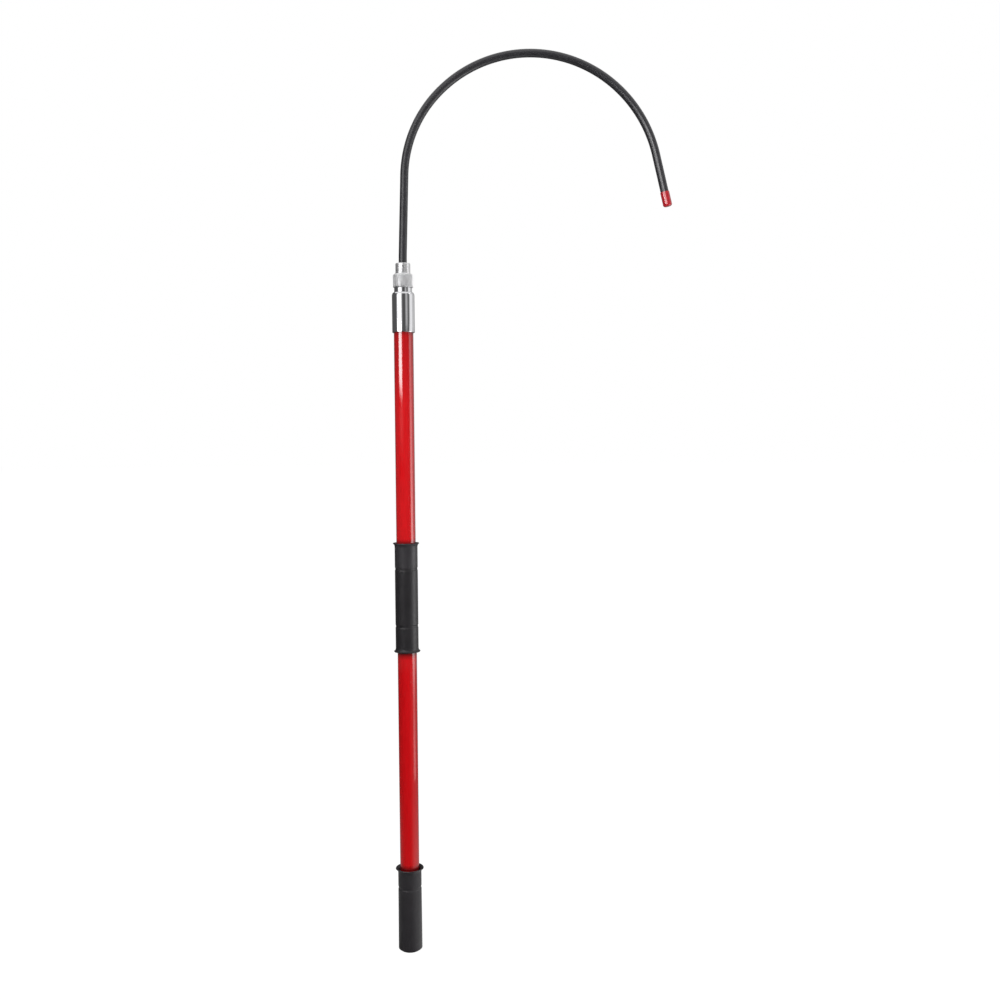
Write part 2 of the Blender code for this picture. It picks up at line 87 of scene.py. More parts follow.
# Head insert and its thread
NECK_RADIUS = 0.0146
NECK_LENGTH = 0.0121
SPIGOT_LENGTH = 0.0131
INSERT_FLANGE = 0.0030
THREAD_RADIUS = 0.0135
THREAD_DEPTH = 0.0009
THREAD_PITCH = 0.0015
THREAD_ROWS_PER_TURN = 10
THREAD_RELIEF_WIDTH = 0.0016
THREAD_RUN_OUT = 0.0009
THREAD_STEEPNESS = 1.15
SOCKET_RADIUS = 0.0083
SOCKET_DEPTH = 0.0266

# Ferrule
FERRULE_LIP = 0.0044
FERRULE_SHOULDER = 0.0058
FERRULE_SHOULDER_STEPS = 24
FERRULE_EDGE = 0.0010

# Hook foot and its pins
FOOT_FLANGE = 0.0040
STUB_RADIUS = 0.0080
STUB_CHAMFER = 0.0010
ROD_SOCKET_RADIUS = 0.0053
ROD_SOCKET_FLOOR = 0.0042
ROD_PIN_HOLE = 0.00165
KEY_HOLE = 0.00145
KEY_HOLE_DEPTH = 0.0036
PIN_CHAMFER = 0.0003

# Union nut
NUT_ROOF = 0.0036
NUT_BORE = 0.0138
NUT_BOTTOM_CHAMFER = 0.0013
NUT_TOP_CHAMFER = 0.0030
NUT_TOP_CHAMFER_HEIGHT = 0.0026
HUB_RADIUS = 0.0121
HUB_HEIGHT = 0.0170
HUB_BORE = 0.0085
HUB_ROUND = 0.0016
KNURL_GROOVES = 84
KNURL_SLOPE = 1.0
KNURL_BAND_DEPTH = 0.0005
KNURL_DEPTH = 0.00045
KNURL_POINTS = 6

# Guide bush
BUSH_BORE = 0.0071
BUSH_SLEEVE = 0.0082
BUSH_FLANGE = 0.0015

# Hook line, covering and cap
SHEATH_RADIUS = 0.0067
SHEATH_WALL = 0.0013
SHANK_ABOVE_NUT = 0.0027
SET_RADIUS = 0.5000
SET_TURN = math.radians(1.80)
SHANK_STRAIGHT = 0.1252
FIRST_BEND_RADIUS = 0.1978
FIRST_BEND_TURN = math.radians(40.0)
SECOND_BEND_RADIUS = 0.2115
SECOND_BEND_TURN = math.radians(125.05)
TIP_STRAIGHT = 0.0848
STRAIGHT_STEP = 0.010
BEND_STEP = math.radians(0.8)
CAP_BORE = 0.0070
CAP_RADIUS = 0.00745
CAP_FLOOR = 0.0016
CAP_LENGTH = 0.0242
CAP_ROUND = 0.0050
CAP_EDGE = 0.0002

# Camera, as the photograph was taken
CAMERA_PLACE = (0.1006, -1.8965, 0.8582)
CAMERA_PITCH = math.radians(2.956)
CAMERA_YAW = math.radians(1.701)
CAMERA_ROLL = math.radians(-0.4215)
CAMERA_LENS = 41.09
CAMERA_SENSOR = 36.0

# Nearly every value of a noise texture lies between these two
NOISE_LOW = 0.3
NOISE_HIGH = 0.7

# Painted shade on the tube beside a rim: the share of its colour left there, and how far the shade
# reaches
FERRULE_EDGE_SHADE = (0.60, 0.007)
FERRULE_WIDE_SHADE = (0.75, 0.120)
MIDDLE_TOP_SHADE = (0.35, 0.007)
MIDDLE_BOTTOM_SHADE = (0.15, 0.012)
LOWER_GRIP_SHADE = (0.22, 0.008)

# Rubber, from its darkest grey to its lightest
RUBBER_GREYS = (0.011, 0.017)
PALE_RUBBER_GREYS = (0.021, 0.027)

# Floor, surround and lamps
FLOOR_RADIUS = 40.0
FLOOR_DROP = 0.0004
FLOOR_GREY = 0.8
FLOOR_GLOW = 0.945
FLOOR_SHADE = 0.20
WORLD_LEVEL = 0.30
KEY_PLACE = (-0.6, -2.2, 1.7)
KEY_AIM = (0.0, 0.0, 0.95)
KEY_SIZE = 1.0
KEY_POWER = 32.0
FILL_PLACE = (1.5, -1.5, 0.5)
FILL_AIM = (0.0, 0.0, 0.35)
FILL_SIZE = 1.0
FILL_POWER = 15.0
SPOT_PLACE = (-0.20, -0.36, 0.86)
SPOT_AIM = (0.0, 0.0, 0.86)
SPOT_SIZE = 0.12
SPOT_POWER = 0.33

# Cards that the gloss and chrome reflect: their fineness, and how far and how high they stand
CARD_STEPS = 48
CARD_ROWS = 24
CARD_DISTANCE = 2.4
NEAR_CARD_DISTANCE = 1.0
CARD_LIFT = -0.0002
TAIL_HEIGHT = 0.72
STRIP_HEIGHT = 0.98
NEAR_CARD_TOP = 1.12
TIER_HEIGHT = 1.27
CARD_TOP = 3.0

# Angles of the cards round the pole, in degrees from the camera's side towards +X
BACK = 180.0
LEFT_FLAG_END = -84.0
SOFTBOX_START = -76.0
STRIP_START = -64.0
STRIP_END = -14.0
TAIL_END = -5.0
SOFTBOX_END = -3.0
FLOOR_SPLIT = 16.0
FRONT_CARD_START = 18.0
FRONT_CARD_END = 52.0
NEAR_CARD_START = 60.0
FRONT_FLAG_END = 62.0
RIGHT_FLAG_END = 80.0
LOW_BACK_START = 92.0
HIGH_BACK_START = 97.0
NEAR_CARD_END = 106.0

# Levels of the cards
BLACK_LEVEL = 0.08
FLAG_LEVEL = 0.10
TAIL_LEVEL = 0.35
STRIP_LEVEL = 11.0
SOFTBOX_LEVEL = 2.2
FRONT_CARD_LEVEL = 0.52
RIGHT_FLAG_LEVEL = 0.15
NEAR_CARD_LEVEL = 1.7
LOW_BACK_LEVEL = 0.6
HIGH_BACK_LEVEL = 0.64
FLOOR_LEFT_LEVEL = 0.03
FLOOR_RIGHT_LEVEL = 0.42

# The small card before the hook's tip
TIP_CARD_POINTS = 34
TIP_CARD_AHEAD = 0.12
TIP_CARD_LEFT = -0.074
TIP_CARD_RIGHT = -0.002
TIP_CARD_LIFT = 0.014
TIP_CARD_FADE = 0.25
TIP_CARD_LEVEL = 7.5

node_body = {}
for body, members in frame["record"]["behaviour"]["bodies"].items():
    for member in members:
        node_body[member] = body


def heights(node):
    """The lowest and highest point of a frame node."""
    low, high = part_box(node)
    return low.z, high.z


def reach(node):
    """The outer radius of a turned frame node that stands on the pole's axis."""
    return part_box(node)[1].y


def stands_for(piece, node):
    """The piece rides on the node's body and is shown in the node's place."""
    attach(piece, node_body[node])
    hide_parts(node)
    return piece


def rounded(corners, closed=True):
    """A profile's points from its corners, each (radius, height, fillet)."""
    points = []
    count = len(corners)
    for index, (radius, height, fillet) in enumerate(corners):
        here = Vector((radius, height))
        at_end = not closed and index in (0, count - 1)
        if at_end or fillet <= 0.0:
            points.append(here)
            continue
        before = Vector(corners[index - 1][:2]) - here
        after = Vector(corners[(index + 1) % count][:2]) - here
        opening = before.angle(after)
        room = FILLET_SHARE * min(before.length, after.length)
        shoulder = min(fillet / math.tan(opening / 2.0), room)
        fillet = shoulder * math.tan(opening / 2.0)
        middle = (before.normalized() + after.normalized()).normalized()
        centre = here + middle * fillet / math.sin(opening / 2.0)
        start = here + before.normalized() * shoulder - centre
        end = here + after.normalized() * shoulder - centre
        turn = start.angle_signed(end)
        steps = max(2, round(abs(turn) / (math.pi / 2.0) * FILLET_STEPS))
        for step in range(steps + 1):
            angle = -turn * step / steps
            swung = Matrix.Rotation(angle, 2) @ start
            points.append(centre + swung)
    return points


def finish_mesh(name, shape, materials):
    """An object from a bmesh, with smooth faces, sharp real edges and flat faces kept flat."""
    bmesh.ops.recalc_face_normals(shape, faces=shape.faces)
    mesh = bpy.data.meshes.new(name)
    shape.to_mesh(mesh)
    shape.free()
    for material in materials:
        mesh.materials.append(material)
    mesh.shade_smooth()
    mesh.set_sharp_from_angle(angle=SHARP_ANGLE)
    piece = bpy.data.objects.new(name, mesh)
    bpy.context.scene.collection.objects.link(piece)
    weighted = piece.modifiers.new("Flat faces", "WEIGHTED_NORMAL")
    weighted.keep_sharp = True
    return piece


def spun(name, profile, materials, steps=TURN_STEPS, offset=None, band=None):
    """The profile turned about Z; it is closed unless it starts and ends on the axis.

    offset(angle, radius, height) moves a point out from the axis. band(radius, height) picks the
    material of the faces round a point.
    """
    shape = bmesh.new()
    rings = []
    for radius, height in profile:
        if radius < TOUCHING:
            rings.append([shape.verts.new((0.0, 0.0, height))])
            continue
        ring = []
        for step in range(steps):
            angle = math.tau * step / steps
            out = radius + (offset(angle, radius, height) if offset else 0.0)
            ring.append(shape.verts.new((out * math.cos(angle), out * math.sin(angle), height)))
        rings.append(ring)
    if profile[0][0] >= TOUCHING:
        rings.append(rings[0])
        profile = list(profile) + [profile[0]]
    for index in range(len(rings) - 1):
        low, high = rings[index], rings[index + 1]
        for step in range(steps):
            after = (step + 1) % steps
            if len(low) == 1:
                face = shape.faces.new((low[0], high[step], high[after]))
            elif len(high) == 1:
                face = shape.faces.new((low[step], high[0], low[after]))
            else:
                face = shape.faces.new((low[step], high[step], high[after], low[after]))
            if band:
                middle = (Vector(profile[index]) + Vector(profile[index + 1])) / 2.0
                face.material_index = band(middle.x, middle.y)
    return finish_mesh(name, shape, materials)


def swept(name, line, radius, inner, material):
    """A round pipe along a line in the XZ plane, each entry (point, heading from +Z towards +X)."""
    shape = bmesh.new()
    lanes = []
    for pipe in (radius, inner):
        lane = []
        for point, heading in line:
            side = Vector((math.cos(heading), 0.0, -math.sin(heading)))
            ring = []
            for step in range(SWEPT_SIDES):
                angle = math.tau * step / SWEPT_SIDES
                out = side * math.cos(angle) + Vector((0.0, 1.0, 0.0)) * math.sin(angle)
                ring.append(shape.verts.new(point + out * pipe))
            lane.append(ring)
        lanes.append(lane)
    outside, inside = lanes
    loops = outside + inside[::-1]
    loops.append(outside[0])
    for low, high in zip(loops, loops[1:]):
        for step in range(SWEPT_SIDES):
            after = (step + 1) % SWEPT_SIDES
            shape.faces.new((low[step], high[step], high[after], low[after]))
    return finish_mesh(name, shape, [material])


def drilled(piece, radius, length, centre, across=False):
    """A round hole through the piece, upright or along Y."""
    mesh = bpy.data.meshes.new("hole")
    shape = bmesh.new()
    bmesh.ops.create_cone(
        shape, cap_ends=True, segments=SMALL_STEPS, radius1=radius, radius2=radius, depth=length
    )
    if across:
        bmesh.ops.rotate(shape, verts=shape.verts, matrix=Matrix.Rotation(math.pi / 2.0, 3, "X"))
    bmesh.ops.translate(shape, verts=shape.verts, vec=centre)
    shape.to_mesh(mesh)
    shape.free()
    cutter = bpy.data.objects.new("hole", mesh)
    bpy.context.scene.collection.objects.link(cutter)
    cut = piece.modifiers.new("Hole", "BOOLEAN")
    cut.operation = "DIFFERENCE"
    cut.object = cutter
    piece.modifiers.move(len(piece.modifiers) - 1, 0)
    view = bpy.context.evaluated_depsgraph_get()
    piece.modifiers["Flat faces"].show_viewport = False
    view.update()
    result = bpy.data.meshes.new_from_object(piece.evaluated_get(view))
    piece.modifiers["Flat faces"].show_viewport = True
    piece.modifiers.remove(cut)
    piece.data = result
    result.shade_smooth()
    result.set_sharp_from_angle(angle=SHARP_ANGLE)
    bpy.data.objects.remove(cutter, do_unlink=True)


def flare(radius, out, rise):
    """A quarter ellipse from (radius, 0) out to (radius + out, rise)."""
    points = []
    for step in range(FLARE_STEPS + 1):
        angle = math.pi / 2.0 * step / FLARE_STEPS
        points.append((radius + out * (1.0 - math.cos(angle)), rise * math.sin(angle)))
    return points


def rim(bore, body, end, out, rise, side=1.0):
    """Corners of a flared rim that ends at height end, from the bore round the lip to the body."""
    lip = LIP_THICKNESS
    inner = flare(bore, body + out - lip / 2.0 - bore, rise)
    outer = flare(body, out, rise)
    inside = [(radius, end + side * (height - rise), 0.0) for radius, height in inner]
    outside = [(radius, end + side * (height - rise - lip), 0.0) for radius, height in outer]
    inside[-1] = (inside[-1][0], inside[-1][1], LIP_FILLET)
    outside[-1] = (outside[-1][0], outside[-1][1], LIP_FILLET)
    return inside + outside[::-1]


def ring_groove(radius, height):
    """Corners of a shallow groove round a grip, from its upper edge to its lower."""
    half = RING_WIDTH / 2.0
    return [
        (radius, height + half, RING_FILLET),
        (radius - RING_DEPTH, height + half / 2.0, RING_FILLET),
        (radius - RING_DEPTH, height - half / 2.0, RING_FILLET),
        (radius, height - half, RING_FILLET),
    ]


def new_material(name, metallic=0.0):
    """A Principled material with its node tree, shader and object coordinates."""
    material = bpy.data.materials.new(name)
    material.use_nodes = True
    tree = material.node_tree
    shader = tree.nodes["Principled BSDF"]
    shader.inputs["Metallic"].default_value = metallic
    place = tree.nodes.new("ShaderNodeTexCoord")
    return material, tree, shader, place.outputs["Object"]


def stretched(tree, vector, scale):
    """Coordinates scaled apart along the axes."""
    mapping = tree.nodes.new("ShaderNodeMapping")
    mapping.inputs["Scale"].default_value = scale
    tree.links.new(vector, mapping.inputs["Vector"])
    return mapping.outputs["Vector"]


def noise(tree, vector, scale, detail=3.0, roughness=0.5):
    """A noise value at so many cells a metre."""
    texture = tree.nodes.new("ShaderNodeTexNoise")
    texture.inputs["Scale"].default_value = scale
    texture.inputs["Detail"].default_value = detail
    texture.inputs["Roughness"].default_value = roughness
    tree.links.new(vector, texture.inputs["Vector"])
    return texture.outputs["Fac"]


def cells(tree, vector, scale):
    """The distance to the nearest of scattered points, at so many points a metre."""
    texture = tree.nodes.new("ShaderNodeTexVoronoi")
    texture.inputs["Scale"].default_value = scale
    tree.links.new(vector, texture.inputs["Vector"])
    return texture.outputs["Distance"]


def ranged(tree, value, low, high, start=NOISE_LOW, end=NOISE_HIGH):
    """The value between start and end carried over to low and high."""
    node = tree.nodes.new("ShaderNodeMapRange")
    node.inputs["From Min"].default_value = start
    node.inputs["From Max"].default_value = end
    node.inputs["To Min"].default_value = low
    node.inputs["To Max"].default_value = high
    tree.links.new(value, node.inputs["Value"])
    return node.outputs["Result"]


def tinted(tree, value, dark, light, start=NOISE_LOW, end=NOISE_HIGH):
    """A colour between two, by the value."""
    ramp = tree.nodes.new("ShaderNodeValToRGB")
    ramp.color_ramp.elements[0].position = start
    ramp.color_ramp.elements[0].color = (*dark, 1.0)
    ramp.color_ramp.elements[1].position = end
    ramp.color_ramp.elements[1].color = (*light, 1.0)
    tree.links.new(value, ramp.inputs["Fac"])
    return ramp.outputs["Color"]


def coloured(tree, shader, value, dark, light, start=NOISE_LOW, end=NOISE_HIGH):
    """The base colour runs between two colours, by the value."""
    tree.links.new(tinted(tree, value, dark, light, start, end), shader.inputs["Base Color"])


def roughened(tree, shader, place, scale, low, high, detail=3.0):
    """The roughness drifts between two levels."""
    drift = noise(tree, place, scale, detail)
    tree.links.new(ranged(tree, drift, low, high), shader.inputs["Roughness"])


def coated(shader, roughness, ior):
    """A clear gloss coat does the shining in place of the surface below it."""
    shader.inputs["Specular IOR Level"].default_value = 0.0
    shader.inputs["Coat Weight"].default_value = 1.0
    shader.inputs["Coat Roughness"].default_value = roughness
    shader.inputs["Coat IOR"].default_value = ior


def bumped(tree, shader, value, distance, strength=1.0, socket="Normal", after=None):
    """Surface relief of so many metres, on top of an earlier relief if there is one."""
    bump = tree.nodes.new("ShaderNodeBump")
    bump.inputs["Distance"].default_value = distance
    bump.inputs["Strength"].default_value = strength
    tree.links.new(value, bump.inputs["Height"])
    if after:
        tree.links.new(after, bump.inputs["Normal"])
    tree.links.new(bump.outputs["Normal"], shader.inputs[socket])
    return bump.outputs["Normal"]


def turning_marks(tree, place, scale, detail, draw=0.05):
    """A noise value drawn out round the axis, as a lathe leaves its marks."""
    return noise(tree, stretched(tree, place, (draw, draw, 1.0)), scale, detail)


def radius_of(tree, vector):
    """The distance from the pole's axis."""
    flat = stretched(tree, vector, (1.0, 1.0, 0.0))
    length = tree.nodes.new("ShaderNodeVectorMath")
    length.operation = "LENGTH"
    tree.links.new(flat, length.inputs[0])
    return length.outputs["Value"]


def joined(tree, operation, first, second):
    """Two values put together, the second a plain number or another value."""
    node = tree.nodes.new("ShaderNodeMath")
    node.operation = operation
    tree.links.new(first, node.inputs[0])
    if isinstance(second, float):
        node.inputs[1].default_value = second
    else:
        tree.links.new(second, node.inputs[1])
    return node.outputs["Value"]


def painted_crevice_shade(tree, place, crevices):
    """The share of its colour that the tube keeps under painted shade: 1 in the open, and less beside
    each crevice.

    A crevice is (height, the share kept there, how far the shade reaches).
    """
    parts = tree.nodes.new("ShaderNodeSeparateXYZ")
    tree.links.new(place, parts.inputs["Vector"])
    shade = None
    for height, kept, spread in crevices:
        off = joined(tree, "SUBTRACT", parts.outputs["Z"], height)
        off = joined(tree, "MAXIMUM", off, joined(tree, "MULTIPLY", off, -1.0))
        near = ranged(tree, off, kept, 1.0, 0.0, spread)
        shade = joined(tree, "MULTIPLY", shade, near) if shade else near
    return shade


def red_tube_material():
    """Red glass-fibre tube under a clear gloss coat, with faint fibres along it and painted shade beside
    its rims.
    """
    material, tree, shader, place = new_material("red_tube_finish")
    fibres = noise(tree, stretched(tree, place, (1.0, 1.0, 0.02)), 1400.0, 4.0, 0.6)
    colour = tinted(tree, fibres, (0.50, 0.0035, 0.0055), (0.60, 0.007, 0.010))
    ferrule_bottom = heights("ferrule")[0]
    middle_bottom, middle_top = heights("middle_grip")
    lower_top = heights("lower_grip")[1]
    # Painted shade: the tube's colour darkens beside the ferrule and beside the grips' rims
    shade = painted_crevice_shade(tree, place, [
        (ferrule_bottom, *FERRULE_EDGE_SHADE),
        (ferrule_bottom, *FERRULE_WIDE_SHADE),
        (middle_top, *MIDDLE_TOP_SHADE),
        (middle_bottom, *MIDDLE_BOTTOM_SHADE),
        (lower_top, *LOWER_GRIP_SHADE),
    ])
    shaded = tree.nodes.new("ShaderNodeVectorMath")
    shaded.operation = "SCALE"
    tree.links.new(colour, shaded.inputs[0])
    tree.links.new(shade, shaded.inputs["Scale"])
    tree.links.new(shaded.outputs["Vector"], shader.inputs["Base Color"])
    roughened(tree, shader, place, 30.0, 0.26, 0.38)
    coated(shader, 0.06, 1.7)
    bumped(tree, shader, fibres, 0.000015)
    bumped(tree, shader, noise(tree, place, 120.0, 1.0), 0.00002, 0.5, socket="Coat Normal")
    return material


def rubber_material(name, greys):
    """Moulded black rubber with a fine grain and a faint tint of violet."""
    material, tree, shader, place = new_material(name)
    dark, light = ((level, 0.92 * level, 1.04 * level) for level in greys)
    cloud = noise(tree, place, 45.0, 5.0, 0.6)
    coloured(tree, shader, cloud, dark, light)
    roughened(tree, shader, place, 220.0, 0.38, 0.50)
    grain = bumped(tree, shader, cells(tree, place, 1500.0), 0.00006, 0.5)
    bumped(tree, shader, cloud, 0.0004, 0.4, after=grain)
    return material


def chrome_material():
    """Polished chrome plate with faint turning marks under it."""
    material, tree, shader, place = new_material("chrome_finish", metallic=1.0)
    marks = turning_marks(tree, place, 3000.0, 2.0)
    coloured(tree, shader, marks, (0.72, 0.72, 0.74), (0.80, 0.80, 0.82))
    roughened(tree, shader, place, 120.0, 0.04, 0.10, detail=4.0)
    bumped(tree, shader, marks, 0.000004)
    return material


def bright_steel_material():
    """Turned bright steel with fine rings."""
    material, tree, shader, place = new_material("bright_steel_finish", metallic=1.0)
    rings = turning_marks(tree, place, 2600.0, 3.0)
    coloured(tree, shader, rings, (0.42, 0.42, 0.43), (0.58, 0.58, 0.59))
    roughened(tree, shader, place, 150.0, 0.22, 0.38, detail=4.0)
    bumped(tree, shader, rings, 0.00001)
    return material


def knurl_material():
    """Satin plate on the knurled ring, with painted shade darkening it down in its grooves."""
    material, tree, shader, place = new_material("satin_knurl_finish", metallic=0.85)
    crest = reach("union_nut")
    # Painted shade: the colour darkens from the knurl's crests down into its grooves
    rise = ranged(tree, radius_of(tree, place), 0.0, 1.0, crest - KNURL_DEPTH, crest)
    coloured(tree, shader, rise, (0.72, 0.72, 0.73), (0.92, 0.92, 0.93), 0.0, 1.0)
    roughened(tree, shader, place, 400.0, 0.38, 0.48, detail=4.0)
    bumped(tree, shader, noise(tree, place, 5000.0, 2.0), 0.00001)
    return material


def hub_material():
    """Finely turned plate on the nut's smooth hub and faces."""
    material, tree, shader, place = new_material("satin_hub_finish", metallic=0.85)
    rings = turning_marks(tree, place, 2600.0, 3.0)
    coloured(tree, shader, rings, (0.72, 0.72, 0.73), (0.84, 0.84, 0.85))
    roughened(tree, shader, place, 150.0, 0.24, 0.34, detail=4.0)
    bumped(tree, shader, rings, 0.000006)
    return material


def sheath_material():
    """Satin dark grey plastic, with a fine skin from the die."""
    material, tree, shader, place = new_material("sheath_finish")
    cloud = noise(tree, place, 60.0, 4.0, 0.6)
    coloured(tree, shader, cloud, (0.018, 0.0175, 0.0205), (0.026, 0.0255, 0.029))
    roughened(tree, shader, place, 300.0, 0.30, 0.37)
    shader.inputs["Specular IOR Level"].default_value = 0.65
    bumped(tree, shader, noise(tree, place, 900.0, 2.0), 0.000004, 0.4)
    return material


def cap_material():
    """Glossy red dipped plastic."""
    material, tree, shader, place = new_material("red_cap_finish")
    cloud = noise(tree, place, 140.0, 3.0)
    coloured(tree, shader, cloud, (0.42, 0.010, 0.018), (0.49, 0.014, 0.024))
    roughened(tree, shader, place, 400.0, 0.18, 0.28)
    coated(shader, 0.10, 1.6)
    bumped(tree, shader, cloud, 0.00001, 0.3)
    return material


def nylon_material():
    """Natural nylon, turned."""
    material, tree, shader, place = new_material("nylon_finish")
    rings = turning_marks(tree, place, 2000.0, 2.0, draw=0.1)
    coloured(tree, shader, rings, (0.70, 0.69, 0.64), (0.78, 0.77, 0.72))
    roughened(tree, shader, place, 200.0, 0.36, 0.50)
    bumped(tree, shader, rings, 0.00002)
    return material


def foam_material():
    """Closed-cell foam, cream, with its cells showing."""
    material, tree, shader, place = new_material("foam_finish")
    bubbles = cells(tree, place, 900.0)
    coloured(tree, shader, bubbles, (0.66, 0.58, 0.34), (0.84, 0.77, 0.52), 0.0, 0.8)
    roughened(tree, shader, place, 120.0, 0.82, 0.96)
    bumped(tree, shader, bubbles, 0.0003)
    return material


def plug_material():
    """Moulded black plastic."""
    material, tree, shader, place = new_material("plug_finish")
    cloud = noise(tree, place, 90.0, 4.0)
    coloured(tree, shader, cloud, (0.024, 0.024, 0.025), (0.036, 0.036, 0.037))
    roughened(tree, shader, place, 300.0, 0.42, 0.58)
    bumped(tree, shader, cells(tree, place, 2000.0), 0.00004, 0.4)
    return material


def build_tube(finish):
    """The insulating tube."""
    bottom, top = heights("pole_tube")
    outer = reach("pole_tube")
    bore = outer - TUBE_WALL
    corners = [
        (outer, top, TUBE_EDGE),
        (outer, bottom, TUBE_EDGE),
        (bore, bottom, TUBE_EDGE),
        (bore, top, TUBE_EDGE),
    ]
    return stands_for(spun("insulating_tube", rounded(corners), [finish]), "pole_tube")


def build_lower_grip(finish):
    """The closed grip on the butt, with its flared rim, ring groove and chamfered bottom."""
    top = heights("lower_grip")[1]
    bore = reach("pole_tube") + GAP
    body = bore + LOWER_GRIP_WALL
    low = body + LOWER_GRIP_TAPER
    out = reach("lower_grip") - body
    corners = [(0.0, GRIP_FLOOR, 0.0), (bore, GRIP_FLOOR, SMALL_EDGE)]
    corners += rim(bore, body, top, out, LOWER_FLARE_HEIGHT)
    corners += ring_groove(body, top - LOWER_GRIP_RING)
    corners += [
        (low, BUTT_CHAMFER_HEIGHT, BUTT_FILLET),
        (BUTT_FLAT_RADIUS, 0.0, BUTT_FILLET),
        (0.0, 0.0, 0.0),
    ]
    return stands_for(spun("butt_grip", rounded(corners, closed=False), [finish]), "lower_grip")


def build_middle_grip(finish, pale_finish):
    """The sleeve grip half way up, paler above its upper groove."""
    bottom, top = heights("middle_grip")
    bore = reach("pole_tube") + GAP
    body = bore + MIDDLE_GRIP_WALL
    out = reach("middle_grip") - body
    corners = rim(bore, body, top, out, MIDDLE_FLARE_HEIGHT)
    corners += ring_groove(body, top - MIDDLE_GRIP_RING)
    corners += ring_groove(body, bottom + MIDDLE_GRIP_RING)
    corners += rim(bore, body, bottom, out, MIDDLE_FLARE_HEIGHT, side=-1.0)[::-1]

    def band(radius, height):
        """Pale above the upper groove."""
        return 1 if height > top - MIDDLE_GRIP_RING else 0

    grip = spun("sleeve_grip", rounded(corners), [finish, pale_finish], band=band)
    return stands_for(grip, "middle_grip")


def build_insert(chrome):
    """The head insert: plug, neck, cut thread and socket."""
    bottom, top = heights("head_insert")
    plug = reach("pole_tube") - TUBE_WALL - GAP
    neck_top = top - SPIGOT_LENGTH
    flange_top = neck_top - NECK_LENGTH
    thread_bottom = neck_top + THREAD_RELIEF_WIDTH
    root = THREAD_RADIUS - THREAD_DEPTH
    row = THREAD_PITCH / THREAD_ROWS_PER_TURN
    rows = int((top - thread_bottom) / row)

    def thread(angle, radius, height):
        """How far the thread stands out from its root at a point of the spigot."""
        if radius < root - TOUCHING or not thread_bottom - TOUCHING < height < top - TOUCHING:
            return 0.0
        turn = height / THREAD_PITCH - angle / math.tau
        ridge = 1.0 - abs(2.0 * (turn - math.floor(turn)) - 1.0)
        fade = min((height - thread_bottom) / THREAD_RUN_OUT, (top - height) / THREAD_RUN_OUT, 1.0)
        return THREAD_DEPTH * min(1.0, THREAD_STEEPNESS * ridge) * max(0.0, fade)

    corners = [
        (0.0, top - SOCKET_DEPTH, 0.0),
        (SOCKET_RADIUS, top - SOCKET_DEPTH, SMALL_EDGE),
        (SOCKET_RADIUS, top, 2.0 * SMALL_EDGE),
    ]
    corners += [(root, top - row * step, 0.0) for step in range(rows + 1)]
    corners += [
        (root, neck_top, SMALL_EDGE),
        (NECK_RADIUS, neck_top, SMALL_EDGE),
        (NECK_RADIUS, flange_top, SMALL_EDGE),
        (reach("pole_tube"), flange_top, SMALL_EDGE),
        (reach("pole_tube"), flange_top - INSERT_FLANGE, SMALL_EDGE),
        (plug, flange_top - INSERT_FLANGE, SMALL_EDGE),
        (plug, bottom, 3.0 * SMALL_EDGE),
        (0.0, bottom, 0.0),
    ]
    profile = rounded(corners, closed=False)
    return stands_for(spun("threaded_insert", profile, [chrome], offset=thread), "head_insert")


def build_ferrule(chrome):
    """The chrome sleeve with its rounded shoulder."""
    bottom, top = heights("ferrule")
    outer = reach("ferrule")
    bore = reach("pole_tube") + GAP
    lip = NECK_RADIUS + GAP
    corners = []
    for step in range(FERRULE_SHOULDER_STEPS + 1):
        angle = math.pi / 2.0 * step / FERRULE_SHOULDER_STEPS
        fall = FERRULE_SHOULDER * (1.0 - math.cos(angle))
        corners.append((lip + (outer - lip) * math.sin(angle), top - fall, 0.0))
    corners += [
        (outer, bottom, FERRULE_EDGE),
        (bore, bottom, GAP),
        (bore, top - FERRULE_LIP, SMALL_EDGE),
        (lip, top - FERRULE_LIP, GAP),
    ]
    return stands_for(spun("ferrule_sleeve", rounded(corners), [chrome]), "ferrule")


def build_foot(steel):
    """The hook's foot, with the holes for its pins."""
    bottom, top = heights("hook_foot")
    flange = reach("hook_foot")
    flange_bottom = top - FOOT_FLANGE
    corners = [
        (0.0, bottom + ROD_SOCKET_FLOOR, 0.0),
        (ROD_SOCKET_RADIUS, bottom + ROD_SOCKET_FLOOR, SMALL_EDGE),
        (ROD_SOCKET_RADIUS, top, SMALL_EDGE),
        (flange, top, SMALL_EDGE),
        (flange, flange_bottom, SMALL_EDGE),
        (STUB_RADIUS, flange_bottom, SMALL_EDGE),
        (STUB_RADIUS, bottom, STUB_CHAMFER),
        (0.0, bottom, 0.0),
    ]
    foot = spun("foot_body", rounded(corners, closed=False), [steel])
    pin_low, pin_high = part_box("rod_pin")
    drilled(foot, ROD_PIN_HOLE, 4.0 * STUB_RADIUS, (pin_low + pin_high) / 2.0, across=True)
    key_low, key_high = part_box("locating_pin")
    key = (key_low + key_high) / 2.0
    drilled(foot, KEY_HOLE, 2.0 * KEY_HOLE_DEPTH, (key.x, key.y, flange_bottom))
    return stands_for(foot, "hook_foot")


def build_pin(name, node, steel, across=False):
    """A straight pin with chamfered ends, upright or along Y."""
    low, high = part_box(node)
    size = high - low
    half = (size.y if across else size.z) / 2.0
    radius = size.x / 2.0
    corners = [
        (0.0, half, 0.0),
        (radius, half, PIN_CHAMFER),
        (radius, -half, PIN_CHAMFER),
        (0.0, -half, 0.0),
    ]
    piece = spun(name, rounded(corners, closed=False), [steel], steps=SMALL_STEPS)
    turn = Matrix.Rotation(math.pi / 2.0, 4, "X") if across else Matrix.Identity(4)
    piece.data.transform(Matrix.Translation((low + high) / 2.0) @ turn)
    return stands_for(piece, node)


